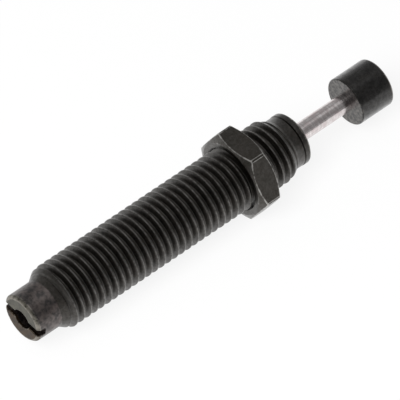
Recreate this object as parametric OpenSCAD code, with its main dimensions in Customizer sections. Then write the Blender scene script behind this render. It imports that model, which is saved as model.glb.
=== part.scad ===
// Miniature industrial shock absorber with a threaded barrel, a jam nut and a sprung, oil-damped rod.
// Millimetres. The axis lies along X with the button towards +X and Z is up.
// The origin is on the axis, in the nut's rear face, where the nut clamps what the barrel is screwed into.

/* [Barrel] */
// Outside diameter of the barrel's thread
thread_d = 8; // [7.8:0.1:10]
// Pitch of the barrel's thread
pitch = 1; // [0.75:0.25:1.25]
// Length from the nut's rear face back to the thread's rear end
thread_back = 27.85; // [22:0.05:40]
// Length from the nut's rear face forward to the collar
thread_front = 7.5; // [6.2:0.05:12]
// Length of the lead-in chamfer at the thread's rear end
lead_in = 1.45; // [0.8:0.05:2]
// Length of the run-out taper between the thread and the collar
run_out = 1.35; // [0.6:0.05:1.8]
// How far the plain neck behind the thread lies below the thread's root
neck_step = 0.37; // [0:0.01:0.6]
// Length of the neck
neck_l = 3.45; // [2.6:0.05:5]
// Wall of the plain collar in front of the thread
collar_wall = 0.41; // [0.35:0.01:0.6]
// Length of the collar
collar_l = 1.1; // [0.8:0.05:4]
// Wall between the thread's root and the barrel's bore
core_wall = 0.54; // [0.4:0.01:0.7]
// Thickness of the barrel's closed rear end, from the neck's face to the bore's floor
floor_t = 5.7; // [4.8:0.05:7]

/* [Rear end] */
// Width of the screwdriver slot
slot_w = 0.95; // [0.6:0.05:1.2]
// Depth of the screwdriver slot
slot_depth = 1; // [0.6:0.05:1.4]
// Turn of the slot about the axis, in degrees from Y
slot_turn = 2; // [-90:1:90]
// Diameter of the filling port that the set screw closes
port_d = 2.5; // [2.4:0.05:2.8]
// Diameter of the ball that seals the port
ball_d = 2; // [1.8:0.05:2.2]
// Length of the set screw
plug_l = 1.5; // [1:0.05:1.8]
// Size of the set screw's hexagon socket, across its flats
socket_af = 1.3; // [0.9:0.05:1.5]

/* [Jam nut] */
// Least wall of the nut, from the thread's outside to the flats
nut_wall = 1; // [0.8:0.1:2.5]
// Thickness of the nut
nut_t = 3; // [2:0.1:4]
// Slope of the chamfers on the nut's corners, in degrees
nut_chamfer = 30; // [15:1:35]

/* [Rod and button] */
// Length that the rod travels inwards
stroke = 8; // [5:0.1:9.6]
// Diameter of the rod
rod_d = 2.25; // [2:0.05:2.6]
// Diameter of the button
button_d = 6.1; // [5:0.1:8]
// Length of the button
button_l = 4.85; // [4.4:0.05:8]
// Chamfer on the button's front edge
button_chamfer = 0.2; // [0.1:0.05:0.6]

/* [Front end] */
// How far the stop ring's rim stands out from the collar
rim_step = 0.05; // [0.02:0.01:0.3]
// Length of the stop ring's rim, which the button meets at the end of its travel
rim_l = 1; // [0.4:0.05:1.4]
// Depth of the groove between the collar and the rim
seam_depth = 0.2; // [0.1:0.02:0.24]
// Length of the stop ring's spigot inside the barrel
spigot_l = 1.55; // [1.3:0.05:2]
// Length of the seal holder
holder_l = 1.8; // [1.7:0.05:2.4]
// Length of the rod bearing
bearing_l = 4.5; // [3:0.1:6]
// Thickness of the rod bearing's flange
flange_t = 1.2; // [0.8:0.05:1.6]
// Radial width of the rod seal and the scraper
seal_w = 0.8; // [0.6:0.05:0.9]

/* [Pressure tube] */
// Gap between the pressure tube and the barrel, through which the oil goes round
oil_gap = 0.4; // [0.3:0.05:0.5]
// Wall of the pressure tube
tube_wall = 0.45; // [0.3:0.05:0.55]
// Number of metering orifices
orifices = 6; // [4:1:8]
// Diameter of each metering orifice
orifice_d = 0.5; // [0.3:0.05:0.6]

/* [Piston and spring] */
// Length of the piston
piston_l = 2.5; // [2.3:0.05:3]
// Thickness of the piston's front flange, which the check ring seals on
land_t = 0.7; // [0.5:0.05:0.9]
// Width of the check ring
ring_w = 0.7; // [0.5:0.05:0.8]
// Distance that the check ring floats in its groove
ring_float = 0.26; // [0.1:0.02:0.3]
// Wire diameter of the return spring
wire_d = 0.35; // [0.25:0.01:0.4]
// Number of coils
coils = 17; // [10:1:19]

/* [Fits] */
// Radial clearance between pieces that move against each other
running = 0.02; // [0.01:0.005:0.04]
// Radial clearance between pieces that are pressed or screwed together
seated = 0.01; // [0.005:0.005:0.02]
// Gap left at the end of the travel, at each stop
stop_gap = 0.05; // [0.02:0.01:0.1]

/* [Hidden] */
$fn = 96;

// Thread form: depths below the crest for a 60 degree metric thread
root_r = thread_d / 2 - 0.6134 * pitch;
mesh_r = thread_d / 2 - 0.3248 * pitch;
crest_r = thread_d / 2;

// Barrel, from the rear face to the collar's front face
shoulder_x = -thread_back;
rear_x = shoulder_x - neck_l;
floor_x = rear_x + floor_t;
front_x = thread_front + collar_l;
edge = 0.1;
neck_r = root_r - neck_step;
bore_r = root_r - core_wall;
collar_r = bore_r + collar_wall;
rim_r = collar_r + rim_step;
fitted_r = bore_r - seated;

// Filling port: a wide bore for the set screw, a cone for the ball and a narrow hole into the barrel
port_r = port_d / 2;
feed_r = 0.6;
ball_r = ball_d / 2;
cone_l = port_r - feed_r;
cone_x = floor_x - 0.6 - cone_l;
ball_x = cone_x + cone_l + feed_r - sqrt(2) * (ball_r + seated);
plug_x = ball_x - ball_r - 0.01;

// Front stack, each piece seated on the next
holder_x = front_x - spigot_l - holder_l;
seal_x = front_x - spigot_l;
bearing_x = holder_x - bearing_l;
rim_x = front_x + rim_l;
rod_r = rod_d / 2;
pocket_r = rod_r + seal_w;
guide_r = rod_r + 0.1;
gasket_r = 0.19;
gasket_x = holder_x + 0.6;
seal_pocket_x = holder_x + 0.7;
scraper_x = rim_x - 1.2;
sleeve_r = rod_r + 0.55;

// Pressure tube, held between the base and the bearing
base_t = 0.9;
base_spigot = 0.7;
base_boss = 0.6;
tube_x = floor_x + base_t;
tube_r = bore_r - oil_gap;
tube_bore_r = tube_r - tube_wall;
spring_x = tube_x + base_spigot;

// Piston, its ring groove and what the rod's tail carries behind it
piston_x = bearing_x - stop_gap;
groove_x = piston_x - land_t;
groove_w = ring_w + ring_float + 2 * running;
piston_end_x = piston_x - piston_l;
piston_r = tube_bore_r - running;
hub_r = piston_r - 0.65;
tail_r = rod_r - 0.4;
tail_groove_r = tail_r - 0.2;
coil_r = (tail_r + tube_bore_r) / 2;
inside_coil_r = coil_r - wire_d / 2 - 0.1;
guide_flange_t = 0.4;
guide_x = piston_end_x - guide_flange_t;
guide_end_x = guide_x - 1;
lock_t = 0.3;
lock_x = guide_end_x - 0.02 - lock_t;
tail_x = lock_x - 0.25;

// Button, one stroke ahead of the stop ring
button_x = rim_x + stroke + stop_gap;
button_end_x = button_x + button_l;
stud_r = rod_r - 0.3;
stud_l = button_l - 2;

// Turns an outline of [place along the axis, radius] points about the X axis
module turned(outline) {
    rotate([0, 90, 0])
        rotate_extrude()
            polygon([for (p = outline) [p[1], p[0]]]);
}

// A plain ring between two places along the axis, or a disc where no inner radius is given
module ring(from_x, to_x, outer_r, inner_r = 0) {
    turned([[from_x, inner_r], [from_x, outer_r], [to_x, outer_r], [to_x, inner_r]]);
}

// A hexagonal prism along the X axis with flats up and down, given by its size across the flats
module hexagon_along(from_x, to_x, across) {
    translate([from_x, 0, 0])
        rotate([0, 90, 0])
            rotate([0, 0, 30])
                cylinder(h = to_x - from_x, r = across / 2 / cos(30), $fn = 6);
}

// Threaded barrel with its neck and collar. The thread is a plain wall at its crests, and at its
// pitch radius inside the nut, so that the nut's plain bore at the same radius runs on it.
module outer_body() {
    color("#262524")
    difference() {
        turned([[rear_x, 0],
                [rear_x, neck_r - 3 * edge],
                [rear_x + 3 * edge, neck_r],
                [shoulder_x, neck_r],
                [shoulder_x + lead_in, crest_r],
                [0, crest_r],
                [0, mesh_r - running / 2],
                [nut_t, mesh_r - running / 2],
                [nut_t, crest_r],
                [thread_front - run_out, crest_r],
                [thread_front, collar_r],
                [front_x - edge, collar_r],
                [front_x, collar_r - seam_depth],
                [front_x, 0]]);
        turned([[floor_x, 0],
                [floor_x, bore_r],
                [front_x - edge, bore_r],
                [front_x + edge, bore_r + 2 * edge],
                [front_x + edge, 0]]);
        turned([[rear_x - 1, 0],
                [rear_x - 1, port_r],
                [cone_x, port_r],
                [cone_x + cone_l, feed_r],
                [floor_x + 1, feed_r],
                [floor_x + 1, 0]]);
        rotate([slot_turn, 0, 0])
            translate([rear_x - 1, -thread_d, -slot_w / 2])
                cube([1 + slot_depth, 2 * thread_d, slot_w]);
    }
}

// Steel ball pressed on the cone of the filling port
module fill_ball() {
    color("silver")
        translate([ball_x, 0, 0])
            sphere(r = ball_r);
}

// Cup-pointed set screw that holds the ball, with a hexagon socket
module set_screw() {
    color("#3a3937")
    difference() {
        turned([[plug_x - plug_l, 0],
                [plug_x - plug_l, port_r - seated - edge],
                [plug_x - plug_l + edge, port_r - seated],
                [plug_x - 2 * edge, port_r - seated],
                [plug_x, port_r - seated - 2 * edge],
                [plug_x, 0]]);
        hexagon_along(plug_x - plug_l - 1, plug_x - 0.45 * plug_l, socket_af);
    }
}

// Disc that closes the pressure tube's rear end, centres the spring and lets oil past its back
module tube_base() {
    color("#8d8f92")
    difference() {
        turned([[floor_x, 0],
                [floor_x, fitted_r],
                [tube_x, fitted_r],
                [tube_x, tube_bore_r - seated],
                [spring_x, tube_bore_r - seated],
                [spring_x, inside_coil_r - 0.05],
                [spring_x + base_boss, inside_coil_r - 0.2],
                [spring_x + base_boss, 0]]);
        for (a = [0, 90])
            rotate([a, 0, 0])
                translate([floor_x - 1, -thread_d, -0.4])
                    cube([1.3, 2 * thread_d, 0.8]);
    }
}

// Orifice that the ring covers last but i: for a constant braking force the open area falls
// with the square root of the stroke that is left, so the spacing shrinks with the square.
function orifice_x(i) =
    groove_x - ring_w - running - orifice_d / 2 - stroke * (1 - pow((orifices - i) / orifices, 2));

// Inner tube that the piston runs in, with metering orifices along the stroke in a spiral,
// and return ports at its front edge
module pressure_tube() {
    color("#b9bcc0")
    difference() {
        ring(tube_x, bearing_x, tube_r, tube_bore_r);
        for (i = [1:orifices])
            translate([orifice_x(i), 0, 0])
                rotate([75 * i, 0, 0])
                    cylinder(h = thread_d, d = orifice_d);
        for (a = [0, 120, 240])
            rotate([a + 40, 0, 0])
                translate([bearing_x - 0.5, -0.4, 0])
                    cube([1, 0.8, thread_d]);
    }
}

// Flanged plain bearing for the rod, which closes the pressure tube. The slots in its flange
// let oil through to the accumulator.
module rod_bearing() {
    color("#a9803f")
    difference() {
        turned([[bearing_x, rod_r + running],
                [bearing_x, fitted_r],
                [bearing_x + flange_t, fitted_r],
                [bearing_x + flange_t, sleeve_r],
                [holder_x, sleeve_r],
                [holder_x, rod_r + running + edge],
                [holder_x - edge, rod_r + running]]);
        for (a = [0:60:300])
            rotate([a, 0, 0])
                translate([bearing_x - 1, -0.35, tube_r - 0.2])
                    cube([flange_t + 2, 0.7, bore_r]);
    }
}

// Closed-cell foam sleeve round the bearing, which gives way to the oil that the rod displaces
module foam_accumulator() {
    color("#4a4a46")
        ring(bearing_x + flange_t + seated, holder_x - seated, bore_r - 0.05, sleeve_r + 0.03);
}

// Brass holder of the rod seal, with a groove for its gasket
module seal_holder() {
    color("#b08d3c")
        turned([[holder_x, guide_r],
                [holder_x, fitted_r],
                [gasket_x - 0.3, fitted_r],
                [gasket_x - 0.3, bore_r - 2 * gasket_r - 0.05],
                [gasket_x + 0.3, bore_r - 2 * gasket_r - 0.05],
                [gasket_x + 0.3, fitted_r],
                [seal_x, fitted_r],
                [seal_x, pocket_r],
                [seal_pocket_x, pocket_r],
                [seal_pocket_x, guide_r]]);
}

// Rubber ring between the seal holder and the barrel
module holder_gasket() {
    color("#1d1d1d")
        translate([gasket_x, 0, 0])
            rotate([0, 90, 0])
                rotate_extrude()
                    translate([bore_r - gasket_r - 0.02, 0])
                        circle(r = gasket_r, $fn = 32);
}

// Cup-shaped rod seal with its two lips turned to the oil
module rod_seal() {
    lip_x = seal_pocket_x + 0.05;
    heel_x = seal_x - 0.02;
    mid_r = (rod_r + pocket_r) / 2;
    color("#20201f")
        turned([[lip_x, pocket_r - 0.2],
                [lip_x + 0.15, pocket_r - seated],
                [heel_x, pocket_r - seated],
                [heel_x, rod_r + 0.08],
                [lip_x + 0.45, rod_r + 0.08],
                [lip_x + 0.05, rod_r + running],
                [lip_x, rod_r + 0.15],
                [lip_x + 0.4, mid_r]]);
}

// Stop ring in the barrel's mouth. Its rim takes the button at the end of the travel,
// and its front pocket holds the scraper.
module stop_ring() {
    color("#3b3a38")
        turned([[seal_x, guide_r],
                [seal_x, fitted_r - edge],
                [seal_x + edge, fitted_r],
                [front_x, fitted_r],
                [front_x, rim_r - seam_depth],
                [front_x + edge, rim_r],
                [rim_x - 3 * edge, rim_r],
                [rim_x, rim_r - 4 * edge],
                [rim_x, pocket_r + edge],
                [rim_x - edge, pocket_r],
                [scraper_x, pocket_r],
                [scraper_x, guide_r]]);
}

// Scraper that keeps dirt off the rod, with its lip turned outwards
module scraper() {
    tip_x = rim_x - edge;
    color("#1f1f1e")
        turned([[scraper_x, rod_r + 0.15],
                [scraper_x, pocket_r - seated],
                [rim_x - 4 * edge, pocket_r - seated],
                [rim_x - 3 * edge, pocket_r - 0.25],
                [rim_x - 3 * edge, rod_r + 0.35],
                [tip_x, rod_r + 0.08],
                [tip_x, rod_r + running],
                [tip_x - 0.4, rod_r + 0.15]]);
}

// Compression spring between the tube's base and the guide behind the piston: a round wire swept
// along a coil that lies closed for one turn at each end
module return_spring() {
    steps = 14;
    sides = 8;
    from_x = spring_x + wire_d / 2 + 0.01;
    to_x = guide_x - wire_d / 2 - 0.01;
    closed = wire_d * 1.05;
    open_pitch = (to_x - from_x - 2 * closed) / (coils - 2);
    function along(t) =
        t < 1 ? from_x + closed * t
        : t > coils - 1 ? to_x - closed * (coils - t)
        : from_x + closed + open_pitch * (t - 1);
    rings = coils * steps;
    points = [for (i = [0:rings], k = [0:sides - 1])
        let (t = i / steps,
             a = 360 * t,
             b = 360 * k / sides,
             r = coil_r + wire_d / 2 * cos(b))
        [along(t) + wire_d / 2 * sin(b), r * cos(a), r * sin(a)]];
    walls = [for (i = [0:rings - 1], k = [0:sides - 1])
        let (m = (k + 1) % sides)
        [i * sides + k, (i + 1) * sides + k, (i + 1) * sides + m, i * sides + m]];
    ends = [[for (k = [0:sides - 1]) k],
            [for (k = [sides - 1:-1:0]) rings * sides + k]];
    color("#9a9da1")
        polyhedron(points, concat(walls, ends));
}

// Ground rod with a grooved tail for the piston and a stud for the button
module piston_rod() {
    color("#c9c7c4")
        turned([[tail_x, 0],
                [tail_x, tail_r - edge],
                [tail_x + edge, tail_r],
                [lock_x - seated, tail_r],
                [lock_x - seated, tail_groove_r],
                [lock_x + lock_t + seated, tail_groove_r],
                [lock_x + lock_t + seated, tail_r],
                [piston_x, tail_r],
                [piston_x, rod_r],
                [button_x, rod_r],
                [button_x, stud_r],
                [button_x + stud_l - edge, stud_r],
                [button_x + stud_l, stud_r - edge],
                [button_x + stud_l, 0]]);
}

// Button pressed on the rod's stud
module button() {
    bore_end_x = button_x + stud_l + 0.1;
    color("#2b2a29")
        turned([[button_x, stud_r + seated],
                [button_x, button_d / 2 - edge],
                [button_x + edge, button_d / 2],
                [button_end_x - button_chamfer, button_d / 2],
                [button_end_x, button_d / 2 - button_chamfer],
                [button_end_x, 0],
                [bore_end_x, 0],
                [bore_end_x, stud_r + seated]]);
}

// Piston with a plain front flange, a groove for the check ring and a rear flange whose slots
// pass oil on the way back
module piston() {
    color("#8f8a80")
    difference() {
        turned([[piston_end_x, tail_r + seated],
                [piston_end_x, piston_r - 0.15],
                [piston_end_x + 0.15, piston_r],
                [groove_x - groove_w, piston_r],
                [groove_x - groove_w, hub_r],
                [groove_x, hub_r],
                [groove_x, piston_r],
                [piston_x, piston_r],
                [piston_x, tail_r + seated]]);
        for (a = [0:60:300])
            rotate([a, 0, 0])
                translate([piston_end_x - 1, -0.25, hub_r - 0.1])
                    cube([groove_x - groove_w - piston_end_x + 1.1, 0.5, piston_r]);
    }
}

// Split copper ring in the tail's groove, which holds the piston and the spring guide on the rod
module lock_ring() {
    color("#b87445")
    difference() {
        ring(lock_x, lock_x + lock_t, inside_coil_r, tail_groove_r + seated);
        translate([lock_x - 1, -0.15, 0])
            cube([lock_t + 2, 0.3, thread_d]);
    }
}

// Flanged sleeve behind the piston that the spring seats on
module spring_guide() {
    color("#a5a79f")
        turned([[guide_end_x, tail_r + seated],
                [guide_end_x, inside_coil_r - edge],
                [guide_end_x + edge, inside_coil_r],
                [guide_x, inside_coil_r],
                [guide_x, coil_r + wire_d / 2 + 0.15],
                [piston_end_x, coil_r + wire_d / 2 + 0.15],
                [piston_end_x, tail_r + seated]]);
}

// Split ring in the piston's groove. It seals on the front flange as the rod goes in,
// and lies on the slotted rear flange as the rod comes back.
module check_ring() {
    color("#6f5b3e")
    difference() {
        ring(groove_x - groove_w + running, groove_x - groove_w + running + ring_w,
             tube_bore_r - running / 2, hub_r + 0.1);
        rotate([200, 0, 0])
            translate([groove_x - groove_w - 1, -0.08, 0])
                cube([groove_w + 2, 0.16, thread_d]);
    }
}

// Thin hexagon nut with chamfered corners on both faces and a countersunk bore
module jam_nut() {
    nut_af = thread_d + 2 * nut_wall;
    corner_r = nut_af / 2 / cos(30);
    face_r = nut_af / 2 - 0.25;
    drop = (corner_r - face_r) * tan(nut_chamfer);
    sink = crest_r - mesh_r + 0.05;
    color("#33312f")
    difference() {
        intersection() {
            hexagon_along(0, nut_t, nut_af);
            turned([[0, 0],
                    [0, face_r],
                    [2 * drop, 2 * corner_r - face_r],
                    [nut_t - 2 * drop, 2 * corner_r - face_r],
                    [nut_t, face_r],
                    [nut_t, 0]]);
        }
        turned([[-1, 0],
                [-1, mesh_r + running / 2 + sink + 1],
                [sink, mesh_r + running / 2],
                [nut_t - sink, mesh_r + running / 2],
                [nut_t + 1, mesh_r + running / 2 + sink + 1],
                [nut_t + 1, 0]]);
    }
}

outer_body();
fill_ball();
set_screw();
tube_base();
pressure_tube();
rod_bearing();
foam_accumulator();
seal_holder();
holder_gasket();
rod_seal();
stop_ring();
scraper();
return_spring();
piston_rod();
button();
piston();
lock_ring();
spring_guide();
check_ring();
jam_nut();
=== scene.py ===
# Looks of a miniature hydraulic shock absorber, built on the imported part.
# The axis lies along X with the button towards +X, and Z is up. Sizes are in millimetres.
import math

import bmesh
import bpy
import numpy as np
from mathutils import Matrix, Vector


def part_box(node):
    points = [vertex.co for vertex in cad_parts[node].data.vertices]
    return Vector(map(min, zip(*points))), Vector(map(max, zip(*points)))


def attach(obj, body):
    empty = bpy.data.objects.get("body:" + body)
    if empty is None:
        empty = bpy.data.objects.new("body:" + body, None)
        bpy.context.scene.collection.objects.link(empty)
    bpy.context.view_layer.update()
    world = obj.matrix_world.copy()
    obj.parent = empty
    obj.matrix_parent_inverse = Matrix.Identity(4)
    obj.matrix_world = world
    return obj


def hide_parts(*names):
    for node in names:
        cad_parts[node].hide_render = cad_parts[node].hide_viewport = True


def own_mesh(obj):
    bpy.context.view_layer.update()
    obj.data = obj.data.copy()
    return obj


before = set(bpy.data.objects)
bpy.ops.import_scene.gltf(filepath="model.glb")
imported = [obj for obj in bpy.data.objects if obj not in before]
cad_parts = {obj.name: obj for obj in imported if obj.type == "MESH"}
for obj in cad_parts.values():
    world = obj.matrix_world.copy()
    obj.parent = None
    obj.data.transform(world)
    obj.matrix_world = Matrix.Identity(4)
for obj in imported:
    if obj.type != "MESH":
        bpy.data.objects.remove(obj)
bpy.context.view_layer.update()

# --- Barrel -----------------------------------------------------------------------------------
# A steel tube with a fine 8 mm thread cut along it, a plain neck with a screwdriver slot and a
# filling port at its closed rear end, and a plain collar at its mouth. It is turned from bar and
# blackened in hot salts. Handling has rubbed the thread's crests and the slot's edges lighter.

MM = 0.001
rear_x, front_x = (corner.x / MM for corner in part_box("outer_body"))
neck_r, neck_chamfer = 3.017, 0.3
shoulder_x, lead_in = -27.85, 1.45
thread_end_x, run_out = 7.5, 1.35
thread_r, crest_r, pitch = 4.0, 3.95, 1.0
crest_start = 0.139  # place of a crest at angle 0, from the nut's rear face
collar_r, edge, seam_depth = 3.257, 0.1, 0.2
bore_r, floor_x = 2.847, -25.6
port_r, cone_x, feed_r, feed_x = 1.25, -26.85, 0.6, -26.2
slot_half, slot_depth, slot_edge, slot_turn = 0.475, 1.0, 0.07, math.radians(2)
slot_floor_x = rear_x + slot_depth

# Rows that a corner of an outline becomes: one in each side's margin, and five round its curve.
corner_rows = 7


def eased(outline, reach, worn, fade=0.12, closed=False):
    """Rounds the corners of an outline of (x, radius) points, by corner and by column.

    A corner P becomes P + reach (a (1 - t)^2 + b t^2) for t from 0 to 1, where a and b are unit
    vectors along its two sides, and takes less than half of the shorter one. The third value, its
    wear, fades out along both sides. A closed outline ends in its first row again."""
    points = np.asarray(outline, float)
    points = points[:, None] if points.ndim == 2 else points
    back, on = np.roll(points, 1, axis=0) - points, np.roll(points, -1, axis=0) - points
    back_l, on_l = (np.linalg.norm(side, axis=-1, keepdims=True) for side in (back, on))
    side_l = 0.45 * np.minimum(back_l, on_l)
    reach = np.minimum(np.reshape(reach, (-1, 1, 1)) * np.ones_like(back_l), side_l)
    margin = np.minimum(reach + fade, side_l)
    if not closed:
        reach[[0, -1]] = margin[[0, -1]] = 0
    t = np.array([0, 0, 0.25, 0.5, 0.75, 1, 1])[:, None, None]
    towards_back, towards_on = (1 - t) ** 2 * reach[:, None], t ** 2 * reach[:, None]
    towards_back[:, 0], towards_on[:, -1] = margin, margin
    bend = points[:, None] + towards_back * (back / back_l)[:, None] + towards_on * (on / on_l)[:, None]
    wear = np.reshape(worn, (-1, 1, 1, 1)) * np.array([0, 1, 1, 1, 1, 1, 0])[:, None, None]
    rows = np.concatenate([bend, wear * np.ones_like(bend[..., :1])], axis=-1)
    rows = rows.reshape(-1, *rows.shape[2:])
    return np.concatenate([rows, rows[:1]]) if closed else rows


def around(rows, angle):
    """Points of a surface about the X axis: a row's (x, r) at an angle a is (x, r cos a, r sin a)."""
    x, r, angle = np.broadcast_arrays(rows[..., 0], rows[..., 1], angle)
    return np.stack([x, r * np.cos(angle), r * np.sin(angle)], axis=-1)


def add_piece(name, points, wear, material, body, slot, *nodes):
    """Adds a piece as a grid: each cell is a quad between two rows and two columns of points.

    Points that meet at a seam or a pole are merged, and the shell is turned outwards."""
    rows, columns = points.shape[:2]
    first = (np.arange(rows - 1)[:, None] * columns + np.arange(columns - 1)).ravel()
    quads = np.stack([first, first + columns, first + columns + 1, first + 1], axis=1)
    mesh = bpy.data.meshes.new(name)
    mesh.from_pydata((points.reshape(-1, 3) * MM).tolist(), [], quads.tolist())
    layer = mesh.attributes.new("wear", "FLOAT", "POINT")
    layer.data.foreach_set("value", np.broadcast_to(wear, (rows, columns)).astype(np.float32).ravel())
    shell = bmesh.new()
    shell.from_mesh(mesh)
    bmesh.ops.remove_doubles(shell, verts=shell.verts, dist=0.0002 * MM)
    bmesh.ops.dissolve_degenerate(shell, dist=0.0001 * MM, edges=shell.edges)
    bmesh.ops.recalc_face_normals(shell, faces=shell.faces)
    shell.to_mesh(mesh)
    shell.free()
    mesh.shade_smooth()
    mesh.set_sharp_from_angle(angle=math.radians(40))
    mesh.materials.append(material)
    piece = bpy.data.objects.new(name, mesh)
    bpy.context.collection.objects.link(piece)
    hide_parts(*nodes)
    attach(piece, body)
    return piece


def linear(hex_colour):
    """Linear RGBA of an sRGB hex colour: each channel by the sRGB curve."""
    channels = np.array([int(hex_colour[i:i + 2], 16) / 255 for i in (1, 3, 5)])
    low = channels / 12.92
    high = ((channels + 0.055) / 1.055) ** 2.4
    return (*np.where(channels <= 0.04045, low, high).tolist(), 1.0)


def add_node(tree, kind, inputs=(), stops=(), **settings):
    """Adds a shader node. inputs maps its sockets to values, or to the outputs that feed them,
    and stops are a colour ramp's places and colours."""
    node = tree.nodes.new("ShaderNode" + kind)
    for name, value in settings.items():
        setattr(node, name, value)
    for socket, value in dict(inputs).items():
        if isinstance(value, bpy.types.NodeSocket):
            tree.links.new(value, node.inputs[socket])
        else:
            node.inputs[socket].default_value = value
    for place, colour in stops:
        if place in (0, 1):
            node.color_ramp.elements[place].color = linear(colour)
        else:
            node.color_ramp.elements.new(place).color = linear(colour)
    return node


def new_material(name):
    """An empty node material, and its node tree."""
    material = bpy.data.materials.new(name)
    material.use_nodes = True
    material.node_tree.nodes.clear()
    return material, material.node_tree


def blackened_steel(name, oxide, rubbed, bare, roughness, rear=None):
    """Steel blackened in hot salts and sealed with oil: a thin dark oxide under a film of oil.

    The eye sees a dark satin metal with faint cloudy mottling, pale at a glancing angle from the
    oil, and lighter in broken lines along worn edges. The neck of a barrel is mottled more strongly,
    and the ears of its slot are dry and dulled by the screwdriver, the lower one browned. For that,
    rear holds three pairs of tones, for the neck and the two ears, and the tone of their edges."""
    material, tree = new_material(name)
    place = add_node(tree, "TexCoord").outputs["Object"]
    # Cloudy patches of the bath, spots left by handling, and the blasted grain drawn coarser.
    cloud_mm, spot_mm, grain_mm = 0.9, 0.4, 0.2
    cloud = add_node(tree, "TexNoise", {"Vector": place, "Scale": 1 / (cloud_mm * MM), "Detail": 3.0})
    spots = add_node(tree, "TexNoise", {"Vector": place, "Scale": 1 / (spot_mm * MM), "Detail": 4.0})
    grain = add_node(tree, "TexNoise", {"Vector": place, "Scale": 1 / (grain_mm * MM), "Detail": 2.0})
    mottle = add_node(tree, "Mix", {"Factor": 0.5, "A": cloud.outputs["Fac"], "B": grain.outputs["Fac"]})
    mottle = add_node(tree, "MapRange", {"Value": mottle.outputs[0], "From Min": 0.4, "From Max": 0.6})
    tone = add_node(tree, "Mix", {"Factor": mottle.outputs["Result"], "A": linear(oxide),
                                  "B": linear(rubbed)}, data_type="RGBA")
    colour = tone.outputs[2]
    oil = add_node(tree, "MapRange", {"Value": spots.outputs["Fac"], "From Min": 0.35, "From Max": 0.65,
                                      "To Min": 0.7, "To Max": 1.1}).outputs["Result"]
    bare = linear(bare)
    if rear:
        along = add_node(tree, "SeparateXYZ", {0: place})
        on_neck, on_ear, low = (
            add_node(tree, "MapRange", {"Value": along.outputs[axis], "From Min": start * MM,
                                        "From Max": end * MM}).outputs["Result"]
            for axis, start, end in (("X", shoulder_x, shoulder_x - 0.1),
                                     ("X", rear_x + 0.35, rear_x + 0.25), ("Z", 0.3, -0.3)))
        spotty = add_node(tree, "Mix", {"Factor": 0.5, "A": cloud.outputs["Fac"],
                                        "B": spots.outputs["Fac"]})
        spotty = add_node(tree, "MapRange", {"Value": spotty.outputs[0], "From Min": 0.4,
                                             "From Max": 0.62})
        skin, upper, lower = (
            add_node(tree, "Mix", {"Factor": spotty.outputs["Result"], "A": linear(first),
                                   "B": linear(second)}, data_type="RGBA").outputs[2]
            for first, second in rear[:3])
        ears = add_node(tree, "Mix", {"Factor": low, "A": upper, "B": lower}, data_type="RGBA")
        skin = add_node(tree, "Mix", {"Factor": on_ear, "A": skin, "B": ears.outputs[2]},
                        data_type="RGBA").outputs[2]
        colour, bare = (
            add_node(tree, "Mix", {"Factor": on_neck, "A": first, "B": second},
                     data_type="RGBA").outputs[2]
            for first, second in ((colour, skin), (bare, linear(rear[3]))))
        ear_oil = 0.2
        oil = add_node(tree, "Mix", {"Factor": on_ear, "A": oil, "B": ear_oil}).outputs[0]
    wear = add_node(tree, "Attribute", attribute_name="wear")
    patchy = add_node(tree, "Math", {0: wear.outputs["Fac"], 1: spots.outputs["Fac"]},
                      operation="MULTIPLY")
    worn = add_node(tree, "MapRange", {"Value": patchy.outputs[0], "From Min": 0.25,
                                       "From Max": 0.55})
    colour = add_node(tree, "Mix", {"Factor": worn.outputs["Result"], "A": colour, "B": bare},
                      data_type="RGBA").outputs[2]
    satin = add_node(tree, "MapRange", {"Value": cloud.outputs["Fac"], "From Min": 0.3, "From Max": 0.7,
                                        "To Min": roughness - 0.06, "To Max": roughness + 0.06})
    grain_depth, oil_gloss, oil_ior = 0.012, 0.14, 1.55  # the film of oil evens out the grain
    relief = add_node(tree, "Bump", {"Height": grain.outputs["Fac"], "Strength": 0.5,
                                     "Distance": grain_depth * MM})
    shader = add_node(tree, "BsdfPrincipled", {
        "Base Color": colour, "Metallic": 1.0, "Roughness": satin.outputs["Result"],
        "Normal": relief.outputs["Normal"], "Coat Weight": oil,
        "Coat Roughness": roughness - oil_gloss, "Coat IOR": oil_ior})
    add_node(tree, "OutputMaterial", {"Surface": shader.outputs[0]})
    return material


# Columns of the barrel: across a slot, up its wall, over its broken edge and round the ear, twice.
# At radius r a slot's wall stands asin(half width / r) from the slot's middle. Each column has its
# share of the slot's depth (sunk), its share of the edge's stand-back (broken), and its wear.
across, ear = np.linspace(-1, 1, 9), np.linspace(0, 1, 45)
sunk = np.tile(np.repeat([1, 0.15, 0, 0.15], [9, 1, 47, 1]), 2)
broken = np.tile(np.repeat([0, 1, 0, 1], [9, 2, 45, 2]), 2)
rubbed = np.tile(np.repeat([0, 0.9, 0, 0.9, 0], [10, 1, 45, 1, 1]), 2)
sunk, broken, rubbed = (np.append(columns, columns[0]) for columns in (sunk, broken, rubbed))


def column_angles(r):
    """Angle of each column in the rows of radius r, a row and a column at a time."""
    r = np.clip(r, port_r, neck_r)[:, None]
    wall, rim = np.arcsin(slot_half / r), np.arcsin((slot_half + slot_edge) / r)
    half = np.concatenate([wall * across, wall, wall, rim + (np.pi - 2 * rim) * ear,
                           np.pi - wall, np.pi - wall], axis=1)
    return slot_turn + np.concatenate([half, half + np.pi, half[:, :1] + 2 * np.pi], axis=1)


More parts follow.
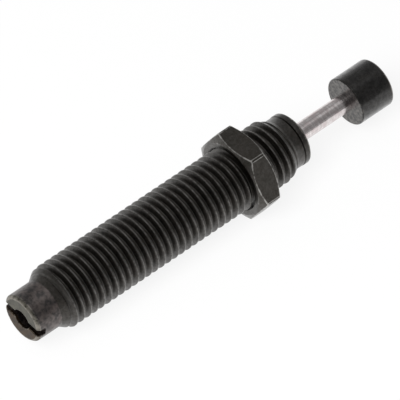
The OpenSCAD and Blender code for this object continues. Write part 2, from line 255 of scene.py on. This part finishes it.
# Rear end: bore floor, feed hole, ball cone, port, rear face and neck. In a slot's columns the rows
# are pushed in to the slot's floor, and its edge stands back along the surface's normal.
rear_end = eased(
    [[floor_x, bore_r], [floor_x, feed_r], [feed_x, feed_r], [cone_x, port_r],
     [slot_floor_x, port_r], [rear_x, port_r], [rear_x, neck_r - neck_chamfer],
     [rear_x + neck_chamfer, neck_r], [slot_floor_x, neck_r], [shoulder_x, neck_r]],
    [0, 0.05, 0.05, 0.1, 0, 0.08, 0.1, 0.1, 0, 0], [0, 0, 0, 0, 0, 0.8, 1, 0.7, 0, 0])
rear_end[7 * corner_rows - 1:7 * corner_rows + 1, :, 2] = 0.8  # the chamfer, from corner 6 to 7
rear_angles = column_angles(rear_end[:, 0, 1])
slope = np.gradient(rear_end[:, 0, :2], axis=0)
outward = np.stack([-slope[:, 1], slope[:, 0]], axis=1)
outward /= np.maximum(np.linalg.norm(outward, axis=1, keepdims=True), 1e-9)
cut = rear_end[:, :, 0] < slot_floor_x - 0.001
rear_end = rear_end * np.ones((len(sunk), 1))
rear_end[..., :2] -= slot_edge * (broken * cut)[..., None] * outward[:, None]
rear_end[..., 0] += sunk * cut * (slot_floor_x - rear_end[..., 0])
rear_end[..., 2] = np.where(cut & (sunk + broken > 0), rubbed, rear_end[..., 2])

# Thread: a row keeps its place in the thread's form, and moves on by a pitch in a turn. Half of the
# form runs from the middle of a rounded crest, down a flank of 60 degrees, to the middle of a
# rounded root. A cone cuts it off at each end, where rows that run past the end close up.
form_reach = np.array([0, 0.05, 0.085, 0.115, 0.19, 0.26, 0.33, 0.4, 0.44, 0.5])
form_r = crest_r - np.array([0, 0, 0.015, 0.055, 0.185, 0.306, 0.428, 0.549, 0.568, 0.57])
places = np.sort(np.concatenate([form_reach, -form_reach[1:-1]]))
run_in, run_past = 1.1, 0.2  # so that whole turns start before the shoulder and end past the thread
laps = np.arange(math.floor(shoulder_x - crest_start - run_in),
                 math.ceil(thread_end_x - crest_start + run_past))
thread_angles = column_angles(np.array([neck_r]))
x = ((laps[:, None] + places) * pitch).reshape(-1, 1) + crest_start
x = np.clip(x + pitch * thread_angles / (2 * np.pi), shoulder_x, thread_end_x)
reach = np.tile(np.abs(places), len(laps))[:, None]
r = np.minimum.reduce([
    np.interp(reach, form_reach, form_r) * np.ones_like(x),
    neck_r + (x - shoulder_x) * (thread_r - neck_r) / lead_in,
    collar_r + (thread_end_x - x) * (thread_r - collar_r) / run_out])
full_form = r > crest_r - 0.07
crest = np.interp(reach, [0, 0.06, 0.13], [1, 1, 0]) * full_form
thread = np.stack([x, r, crest], axis=-1)

# Front end: collar, its broken front edge at the groove before the stop ring, and the bore.
front_end = eased(
    [[thread_end_x, collar_r], [front_x - edge, collar_r], [front_x, collar_r - seam_depth],
     [front_x, bore_r + edge], [front_x - edge, bore_r], [floor_x, bore_r]],
    [0, 0.03, 0.02, 0.02, 0.02, 0], [0, 0.3, 0, 0, 0, 0]) * np.ones((len(sunk), 1))
rows = np.concatenate([rear_end, thread, front_end])
angles = np.concatenate([rear_angles, thread_angles * np.ones((len(thread), 1)),
                         column_angles(front_end[:, 0, 1])])
barrel_black = blackened_steel(
    "barrel_blackened_steel", "#25211a", "#37312a", "#666360", 0.5,
    rear=(("#322e2d", "#695e5a"), ("#4a4840", "#67655a"), ("#2e2010", "#57452f"), "#948f86"))
add_piece("threaded_barrel", around(rows, angles), rows[..., 2], barrel_black, "barrel",
          "barrel_steel", "outer_body")

# --- Filling port -----------------------------------------------------------------------------
# A bearing ball sits on the cone of the filling port, and a blackened set screw with a hexagon
# socket holds it there. Both go in after the oil.

screw_x, screw_end_x = (corner.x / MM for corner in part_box("set_screw"))
screw_r, screw_edge, screw_chamfer, point_r, point_depth = 1.24, 0.1, 0.2, 0.7, 0.25
socket_half, socket_floor_x = 0.65, screw_x + 0.825

# The socket's hexagon: half its flats / cos(angle from the nearest flat's middle).
angle = np.linspace(0, 2 * np.pi, 97)
socket = socket_half / np.cos((angle - np.pi / 2 + np.pi / 6) % (np.pi / 3) - np.pi / 6)
plain = np.ones_like(angle)
outline = np.stack([
    np.stack([place * plain, radius * plain], axis=-1) for place, radius in (
        (socket_floor_x, 0), (socket_floor_x, socket), (screw_x, socket),
        (screw_x, screw_r - screw_edge), (screw_x + screw_edge, screw_r),
        (screw_end_x - screw_chamfer, screw_r), (screw_end_x, screw_r - screw_chamfer),
        (screw_end_x, point_r), (screw_end_x - point_depth, 0))])
rows = eased(outline, [0, 0.03, 0.05, 0.05, 0.05, 0.05, 0.05, 0.05, 0],
             [0, 0, 1, 0.6, 0.4, 0, 0, 0, 0])
screw_black = blackened_steel("screw_blackened_steel", "#3c3a38", "#484542", "#8c8a86", 0.35)
add_piece("socket_set_screw", around(rows, angle), rows[..., 2], screw_black, "barrel",
          "screw_steel", "set_screw")


def turned_metal(name, light, dark, roughness, feed):
    """Bare metal from the lathe: fine rings that follow the tool, feed millimetres apart.

    The eye sees a satin metal whose rings catch the light, with faint darker handling stains."""
    material, tree = new_material(name)
    place = add_node(tree, "TexCoord").outputs["Object"]
    split = add_node(tree, "SeparateXYZ", {0: place})
    section = add_node(tree, "CombineXYZ", {"Y": split.outputs["Y"], "Z": split.outputs["Z"]})
    radius = add_node(tree, "VectorMath", {0: section.outputs[0]}, operation="LENGTH")
    path = add_node(tree, "Math", {0: split.outputs["X"], 1: radius.outputs["Value"]}, operation="ADD")
    along = add_node(tree, "CombineXYZ", {"X": path.outputs[0]})
    wave_mm, stain_mm, ring_depth = 0.314, 1.5, 0.004  # a wave of scale 1 repeats every 0.314
    rings = add_node(tree, "TexWave", {"Vector": along.outputs[0], "Scale": wave_mm / (feed * MM),
                                       "Distortion": 0.4, "Detail": 1.0})
    stains = add_node(tree, "TexNoise", {"Vector": place, "Scale": 1 / (stain_mm * MM),
                                         "Detail": 4.0})
    stained = add_node(tree, "MapRange", {"Value": stains.outputs["Fac"], "From Min": 0.4,
                                          "From Max": 0.7})
    colour = add_node(tree, "Mix", {"Factor": stained.outputs["Result"], "A": linear(light),
                                    "B": linear(dark)}, data_type="RGBA")
    satin = add_node(tree, "MapRange", {"Value": rings.outputs["Fac"], "To Min": roughness - 0.05,
                                        "To Max": roughness + 0.08})
    relief = add_node(tree, "Bump", {"Height": rings.outputs["Fac"], "Strength": 0.5,
                                     "Distance": ring_depth * MM})
    shader = add_node(tree, "BsdfPrincipled", {
        "Base Color": colour.outputs[2], "Metallic": 1.0, "Roughness": satin.outputs["Result"],
        "Normal": relief.outputs["Normal"]})
    add_node(tree, "OutputMaterial", {"Surface": shader.outputs[0]})
    return material


def give(material, *names):
    """Gives a material to CAD nodes, whose shape stays as it is."""
    for name in names:
        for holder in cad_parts[name].material_slots:
            holder.material = material


give(turned_metal("lapped_bearing_steel", "#c8cacc", "#b4b6b8", 0.12, 0.03), "fill_ball")

# --- Pressure tube ----------------------------------------------------------------------------
# The drilled steel tube that the piston runs in stands on a turned base at the barrel's floor.
# Both are plain bright steel, bathed in oil.

give(turned_metal("turned_base_steel", "#9a9c9e", "#808284", 0.34, 0.09), "tube_base")
give(turned_metal("honed_tube_steel", "#b9bbbe", "#a0a2a5", 0.22, 0.05), "pressure_tube")

# --- Return spring ----------------------------------------------------------------------------
# A spring wound cold from piano wire, with a closed coil at each end. It stands between the tube's
# base and the piston's guide, brings the rod back, and shortens by the rod's travel.

wire_r, coils, travel = 0.175, 17, 8
spring_x, spring_end_x = (corner.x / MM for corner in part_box("return_spring"))
coil_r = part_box("return_spring")[1].y / MM - wire_r

# The wire's middle runs round the axis at the coil's radius, quickly forward in the open coils and
# slowly in the closed ones. A point of its skin lies the wire's radius off it, at an angle between
# the radius and the axis. That radius is 0 in the first and last rows, which close the ends.
steps, first_x, last_x = 36 * coils + 1, spring_x + wire_r, spring_end_x - wire_r
closed_pitch = 2.1 * wire_r
turn = np.pad(np.linspace(0, coils, steps), 1, mode="edge")[:, None]
skin_r = wire_r * np.pad(np.ones(steps), 1)[:, None]
middle = np.interp(turn, [0, 1, coils - 1, coils],
                   [first_x, first_x + closed_pitch, last_x - closed_pitch, last_x])
side = np.linspace(0, 2 * np.pi, 17)
rows = np.stack([middle + skin_r * np.sin(side), coil_r + skin_r * np.cos(side)], axis=-1)
spring_steel = turned_metal("drawn_spring_wire", "#8f9194", "#74767a", 0.3, 0.12)
spring = add_piece("wound_spring", around(rows, 2 * np.pi * turn), 0, spring_steel, "barrel",
                   "spring_steel", "return_spring")
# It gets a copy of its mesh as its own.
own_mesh(spring)

# --- Piston -----------------------------------------------------------------------------------
# The ground steel piston, its split bronze check ring and the spring's seat are held on the rod's
# tail by a split copper ring.

give(turned_metal("ground_piston_steel", "#a29d94", "#8a857c", 0.25, 0.06), "piston")
give(turned_metal("ground_ring_bronze", "#8f7650", "#725c3c", 0.3, 0.05), "check_ring")
give(turned_metal("soft_copper", "#b87a58", "#96603f", 0.32, 0.08), "lock_ring")
give(turned_metal("yellow_zinc_plate", "#b5b49a", "#9a9a86", 0.28, 0.08), "spring_guide")

# --- Bearing, accumulator and seals -----------------------------------------------------------
# A sintered bronze bearing guides the rod. Foam round it takes up the oil that the rod displaces,
# and a turned brass holder in front of it carries a rubber rod seal and its own gasket.


def sintered_bronze(name, light, dark):
    """Bronze pressed from powder and soaked in oil.

    The eye sees a dull, grainy gold-brown with dark pores between the grains."""
    material, tree = new_material(name)
    place = add_node(tree, "TexCoord").outputs["Object"]
    grain_mm, pore_depth = 0.15, 0.01  # powder grains of 0.05 mm, drawn coarser to show
    grains = add_node(tree, "TexVoronoi", {"Vector": place, "Scale": 1 / (grain_mm * MM)})
    pores = add_node(tree, "MapRange", {"Value": grains.outputs["Distance"], "From Min": 0.3,
                                        "From Max": 0.7})
    colour = add_node(tree, "Mix", {"Factor": pores.outputs["Result"], "A": linear(light),
                                    "B": linear(dark)}, data_type="RGBA")
    relief = add_node(tree, "Bump", {"Height": pores.outputs["Result"], "Strength": 0.6,
                                     "Distance": pore_depth * MM}, invert=True)
    shader = add_node(tree, "BsdfPrincipled", {
        "Base Color": colour.outputs[2], "Metallic": 1.0, "Roughness": 0.45,
        "Normal": relief.outputs["Normal"]})
    add_node(tree, "OutputMaterial", {"Surface": shader.outputs[0]})
    return material


def moulded_rubber(name, light, dark, roughness, cell, depth):
    """Nitrile rubber, oily, with cells or mould marks that are cell wide and depth deep.

    The eye sees a near black with a soft sheen and a faint grey bloom."""
    material, tree = new_material(name)
    place = add_node(tree, "TexCoord").outputs["Object"]
    bloom_mm = 0.8
    cells = add_node(tree, "TexVoronoi", {"Vector": place, "Scale": 1 / (cell * MM)},
                     feature="SMOOTH_F1")
    bloom = add_node(tree, "TexNoise", {"Vector": place, "Scale": 1 / (bloom_mm * MM),
                                        "Detail": 3.0})
    colour = add_node(tree, "Mix", {"Factor": bloom.outputs["Fac"], "A": linear(dark),
                                    "B": linear(light)}, data_type="RGBA")
    relief = add_node(tree, "Bump", {"Height": cells.outputs["Distance"], "Strength": 0.5,
                                     "Distance": depth * MM})
    shader = add_node(tree, "BsdfPrincipled", {
        "Base Color": colour.outputs[2], "Roughness": roughness, "IOR": 1.52,
        "Normal": relief.outputs["Normal"]})
    add_node(tree, "OutputMaterial", {"Surface": shader.outputs[0]})
    return material


seal_rubber = moulded_rubber("oily_nitrile_rubber", "#262625", "#191918", 0.38, 0.2, 0.004)
give(sintered_bronze("sintered_bearing_bronze", "#b08a50", "#6f5228"), "rod_bearing")
give(moulded_rubber("closed_cell_nitrile_foam", "#4c4c49", "#343432", 0.75, 0.3, 0.06),
     "foam_accumulator")
give(turned_metal("turned_holder_brass", "#c3a25c", "#a88848", 0.28, 0.07), "seal_holder")
give(seal_rubber, "holder_gasket", "rod_seal")

# --- Mouth ------------------------------------------------------------------------------------
# A blackened steel stop ring is pressed into the barrel's mouth. Its rim takes the button at the end
# of the travel, and a rubber scraper in its pocket keeps dirt off the rod.

ring_x, rim_x = (corner.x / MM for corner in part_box("stop_ring"))
scraper_x, tip_x = (corner.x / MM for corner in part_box("scraper"))
rod_r, fitted = 1.125, 0.01  # fitted is the gap between pieces that are pressed together
rim_r, face_r, spigot_r, pocket_r, guide_r = 3.307, 2.907, 2.837, 1.925, 1.225
rim_bevel = 0.3
angle = np.linspace(0, 2 * np.pi, 129)
rows = eased(
    [[ring_x, guide_r], [ring_x, spigot_r], [front_x, spigot_r], [front_x, rim_r - seam_depth],
     [front_x + edge, rim_r], [rim_x - rim_bevel, rim_r], [rim_x, face_r], [rim_x, pocket_r],
     [scraper_x, pocket_r], [scraper_x, guide_r]],
    [0.1, 0.1, 0, 0.03, 0.04, 0.08, 0.05, 0.1, 0.05, 0.05],
    [0, 0, 0, 0.3, 0.5, 0.8, 0.6, 0.4, 0, 0], closed=True)
ring_black = blackened_steel("stop_ring_blackened_steel", "#221e19", "#332e28", "#928e84", 0.48)
add_piece("stop_ring_rim", around(rows, angle), rows[..., 2], ring_black, "barrel", "stop_steel",
          "stop_ring")

# The scraper's body fills the pocket, and its lip leans out along the rod to a thin tip.
body_x, body_edge, body_slope = rim_x - 0.3, 0.1, 0.25
lip_root_x, lip_w, tip_w, root_gap, tip_gap = tip_x - 0.4, 0.2, 0.06, 0.15, 0.02
rows = eased(
    [[scraper_x, rod_r + root_gap], [scraper_x, pocket_r - fitted],
     [body_x - body_edge, pocket_r - fitted], [body_x, pocket_r - body_slope],
     [body_x, rod_r + root_gap + lip_w], [tip_x, rod_r + tip_gap + tip_w],
     [tip_x, rod_r + tip_gap], [lip_root_x, rod_r + root_gap]],
    [0.05, 0.05, 0.03, 0.05, 0.08, 0.02, 0.02, 0.1], 0, closed=True)
add_piece("rod_scraper", around(rows, angle), rows[..., 2], seal_rubber, "barrel", "seal_rubber",
          "scraper")

# --- Rod --------------------------------------------------------------------------------------
# The rod is hardened steel, ground and polished. It steps down to a grooved tail for the piston and
# to a stud that the button is pressed on.

tail_x, stud_x = (corner.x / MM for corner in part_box("piston_rod"))
button_x, button_end_x = (corner.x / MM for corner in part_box("button"))
piston_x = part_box("piston")[1].x / MM
lock_x, lock_end_x = (corner.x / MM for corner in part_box("lock_ring"))
tail_r, groove_r, stud_r = 0.725, 0.525, 0.825
groove_x, groove_end_x = lock_x - fitted, lock_end_x + fitted
rows = eased(
    [[tail_x, 0], [tail_x, tail_r], [groove_x, tail_r], [groove_x, groove_r],
     [groove_end_x, groove_r], [groove_end_x, tail_r], [piston_x, tail_r], [piston_x, rod_r],
     [button_x, rod_r], [button_x, stud_r], [stud_x, stud_r], [stud_x, 0]],
    [0, 0.1, 0.02, 0.02, 0.02, 0.02, 0, 0.03, 0.01, 0, 0.1, 0], 0)


def ground_steel(name, light, dark, stained):
    """Hardened steel, ground round and then drawn through its seals.

    The eye sees a bright satin that blurs along the rod and stays sharp across it, with fine rings
    from the wheel, lengthwise lines from the seals and a few warmer patches of old oil."""
    material, tree = new_material(name)
    place = add_node(tree, "TexCoord").outputs["Object"]
    # Rings and lines of 0.01 mm, drawn coarser to show.
    ring_mm, ring_width_mm, line_mm, line_length_mm = 0.2, 1.0, 0.14, 6.0
    patch_mm, line_depth = 0.7, 0.006
    rings, lines = (
        add_node(tree, "TexNoise", {"Vector": add_node(tree, "Mapping", {
            "Vector": place, "Scale": (1 / (length * MM), 1 / (width * MM), 1 / (width * MM))}).outputs[0],
            "Scale": 1.0, "Detail": 3.0, "Roughness": 0.6}).outputs["Fac"]
        for length, width in ((ring_mm, ring_width_mm), (line_length_mm, line_mm)))
    patches = add_node(tree, "TexNoise", {"Vector": place, "Scale": 1 / (patch_mm * MM), "Detail": 4.0})
    marks = add_node(tree, "Mix", {"Factor": 0.5, "A": rings, "B": lines}).outputs[0]
    marked = add_node(tree, "MapRange", {"Value": marks, "From Min": 0.4, "From Max": 0.6})
    stain = add_node(tree, "MapRange", {"Value": patches.outputs["Fac"], "From Min": 0.45,
                                        "From Max": 0.65})
    colour = add_node(tree, "Mix", {"Factor": marked.outputs["Result"], "A": linear(dark),
                                    "B": linear(light)}, data_type="RGBA").outputs[2]
    colour = add_node(tree, "Mix", {"Factor": stain.outputs["Result"], "A": colour,
                                    "B": linear(stained)}, data_type="RGBA").outputs[2]
    satin = add_node(tree, "MapRange", {"Value": marks, "From Min": 0.4, "From Max": 0.6,
                                        "To Min": 0.14, "To Max": 0.22})
    relief = add_node(tree, "Bump", {"Height": lines, "Strength": 0.4,
                                     "Distance": line_depth * MM})
    round_rod = add_node(tree, "Tangent", direction_type="RADIAL", axis="X")
    shader = add_node(tree, "BsdfPrincipled", {
        "Base Color": colour, "Metallic": 1.0, "Roughness": satin.outputs["Result"],
        "Anisotropic": 0.3, "Anisotropic Rotation": 0.25, "Normal": relief.outputs["Normal"],
        "Tangent": round_rod.outputs[0]})
    add_node(tree, "OutputMaterial", {"Surface": shader.outputs[0]})
    return material


rod_steel = ground_steel("ground_rod_steel", "#f0eaea", "#c6bfbe", "#d2c6c6")
add_piece("ground_rod", around(rows, angle), 0, rod_steel, "rod", "rod_steel", "piston_rod")

# --- Button -----------------------------------------------------------------------------------
# The machine strikes this blackened steel button. It is turned with a broken edge at the back, a
# small chamfer in front and a blind bore, and it is pressed on the rod's stud.

button_r, button_chamfer, button_bore_r, bore_end_x = 3.05, 0.2, stud_r + fitted, stud_x + 0.1
rows = eased(
    [[bore_end_x, 0], [bore_end_x, button_bore_r], [button_x, button_bore_r],
     [button_x, button_r - edge], [button_x + edge, button_r],
     [button_end_x - button_chamfer, button_r], [button_end_x, button_r - button_chamfer],
     [button_end_x, 0]],
    [0, 0.02, 0.01, 0.05, 0.05, 0.1, 0.1, 0], [0, 0, 0, 0.6, 0.5, 0.9, 1, 0])
rows[3 * corner_rows - 1:3 * corner_rows + 1, :, 2] = 0.62  # the back, where the oxide is thin
button_black = blackened_steel("button_blackened_steel", "#100e0c", "#221f1c", "#6b645c", 0.36)
add_piece("strike_button", around(rows, angle), rows[..., 2], button_black, "rod", "button_steel",
          "button")

# --- Jam nut ----------------------------------------------------------------------------------
# The thin hexagon nut that locks the barrel in its mount, 10 mm across the flats. It is blackened
# steel, chamfered at 30 degrees on both faces and countersunk, and its corners are worn bright.

flat, corner_fillet, nut_face_r, nut_bore_r, sink_r = 5.0, 0.3, 4.75, 3.675, 4.15
nut_slope = math.radians(30)
sink = sink_r - nut_bore_r
nut_x, nut_end_x = (corner.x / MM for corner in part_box("jam_nut"))
to_corner = (flat - corner_fillet) / math.cos(math.radians(30))
fillet_start = math.degrees(math.atan((flat - corner_fillet) * math.tan(math.radians(30)) / flat))

# Columns of a sixth of the nut, in degrees from the middle of a flat, with a narrow one for the
# worn line along each side of a corner's fillet.
worn_line = 0.9
fillet = np.linspace(fillet_start, 30, 4)
sector = np.concatenate([-fillet[::-1], [-fillet_start + worn_line], np.linspace(-25, 25, 11),
                         [fillet_start - worn_line], fillet[:-1]])
from_flat = np.append(np.tile(sector, 6), -30)
angle = np.radians(np.append((np.arange(6)[:, None] * 60 + 30 + sector).ravel(), 360))

# Outline of the hexagon: flat / cos(angle from the flat's middle), and a circle of the fillet's
# radius round a point on the corner's line. The chamfer's cone gives each column its own edge.
from_corner = np.radians(30 - np.abs(from_flat))
rounded = to_corner * np.cos(from_corner) + np.sqrt(
    np.maximum(corner_fillet ** 2 - (to_corner * np.sin(from_corner)) ** 2, 0))
hexagon = np.where(np.abs(from_flat) > fillet_start, rounded, flat / np.cos(np.radians(from_flat)))
drop = (hexagon - nut_face_r) * math.tan(nut_slope)
plain = np.ones_like(angle)
outline = np.stack([np.stack([place * plain, radius * plain], axis=-1) for place, radius in (
    (nut_x + sink, nut_bore_r), (nut_x, sink_r), (nut_x, nut_face_r), (nut_x + drop, hexagon),
    (nut_end_x - drop, hexagon), (nut_end_x, nut_face_r), (nut_end_x, sink_r),
    (nut_end_x - sink, nut_bore_r))])
rows = eased(outline, [0.05, 0.04, 0.06, 0.05, 0.05, 0.06, 0.04, 0.05],
             [0, 0.5, 0.5, 1, 1, 0.5, 0.5, 0], closed=True)

# The arcs of the chamfers are worn more towards the corners, and each corner along its two lines.
corner_wear = np.interp(np.abs(from_flat), [fillet_start - worn_line, fillet_start, 29, 30],
                        [0, 1.3, 0.4, 0.4])
on_side = np.isclose(rows[..., 1], hexagon, atol=0.02)
near_corner = np.interp(np.abs(from_flat), [0, 18, fillet_start], [0.75, 0.8, 1.2])
wear = np.maximum(rows[..., 2] * near_corner, on_side * corner_wear)
nut_black = blackened_steel("nut_blackened_steel", "#282319", "#3a342d", "#b4b2ae", 0.45)
add_piece("hex_jam_nut", around(rows, angle), wear, nut_black, "nut", "nut_steel", "jam_nut")

# --- Table and light --------------------------------------------------------------------------
# A small product on a white table in a light tent: pale near the horizon, greyer overhead, with one
# large soft lamp behind the rear end, polarised so that it leaves no glare on the metal.

table_x, table_z, table_share = 2000, -5, 0.87


def add_stage(name, points, material):
    """A flat panel of the set through its corners."""
    mesh = bpy.data.meshes.new(name)
    mesh.from_pydata([(Vector(point) * MM)[:] for point in points], [], [tuple(range(len(points)))])
    mesh.materials.append(material)
    panel = bpy.data.objects.new(name, mesh)
    bpy.context.collection.objects.link(panel)


# The eye and the reflections see an evenly lit white laminate, mostly by a glow of its own. The rest
# of it is matte, which keeps the part's soft shadow.
white_table, tree = new_material("white_laminate_table")
ray = add_node(tree, "LightPath")
seen = add_node(tree, "Math", {0: ray.outputs["Is Camera Ray"], 1: ray.outputs["Is Glossy Ray"]},
                operation="MAXIMUM")
seen = add_node(tree, "Math", {0: seen.outputs[0], 1: ray.outputs["Is Transmission Ray"]},
                operation="MAXIMUM")
share = add_node(tree, "Math", {0: seen.outputs[0], 1: table_share}, operation="MULTIPLY")
matte = add_node(tree, "BsdfDiffuse", {"Color": linear("#f2f2f2")})
bright = add_node(tree, "Emission", {"Color": linear("#ffffff"), "Strength": 1.0})
shown = add_node(tree, "MixShader", {0: share.outputs[0], 1: matte.outputs[0], 2: bright.outputs[0]})
add_node(tree, "OutputMaterial", {"Surface": shown.outputs[0]})
add_stage("table", [(-table_x, -table_x, table_z), (table_x, -table_x, table_z),
                    (table_x, table_x, table_z), (-table_x, table_x, table_z)], white_table)

world = bpy.data.worlds.new("light_tent")
bpy.context.scene.world = world
world.use_nodes = True
tent = world.node_tree
tent.nodes.clear()
direction = add_node(tent, "TexCoord")
height = add_node(tent, "SeparateXYZ", {0: direction.outputs["Generated"]})
walls = add_node(tent, "ValToRGB", {"Fac": height.outputs["Z"]}, stops=[
    (0, "#ffffff"), (0.02, "#ffffff"), (0.12, "#b0b0b0"), (0.4, "#9c9c9c"), (0.85, "#989898"),
    (1, "#c4c4c4")])
far_side = add_node(tent, "MapRange", {"Value": height.outputs["Y"], "From Min": -1.0, "To Min": 0.75,
                                       "To Max": 1.25})
light = add_node(tent, "Background", {"Color": walls.outputs["Color"], "Strength": far_side.outputs[0]})
add_node(tent, "OutputWorld", {"Surface": light.outputs[0]})

lamp_size, lamp_power, lamp_place = 250, 2.4, (-300, -100, 350)
lamp_light = bpy.data.lights.new("soft_lamp", "AREA")
lamp_light.size = lamp_size * MM
lamp_light.energy = lamp_power
lamp = bpy.data.objects.new("soft_lamp", lamp_light)
lamp.location = Vector(lamp_place) * MM
lamp.rotation_euler = (-lamp.location).to_track_quat("-Z", "Y").to_euler()
bpy.context.collection.objects.link(lamp)
lamp.visible_glossy = False

# --- Camera -----------------------------------------------------------------------------------
# A long lens looks down on the rear end and the near side, from far enough off that the barrel's
# sides stay nearly parallel.

aim = Vector((-2.645, 2.295, -3.622)) * MM
toward_camera = Vector((-0.4315, -0.4884, 0.7584)).normalized()
camera_distance, sensor_width, focal_length, clip_end = 727.9, 36, 573.2, 10000
lens = bpy.data.cameras.new("long_lens")
lens.sensor_width = sensor_width
lens.lens = focal_length
lens.clip_end = clip_end * MM
camera = bpy.data.objects.new("camera", lens)
camera.location = aim + toward_camera * camera_distance * MM
camera.rotation_euler = (-toward_camera).to_track_quat("-Z", "Y").to_euler()
bpy.context.collection.objects.link(camera)
bpy.context.scene.camera = camera
bpy.context.scene.view_settings.view_transform = "Standard"
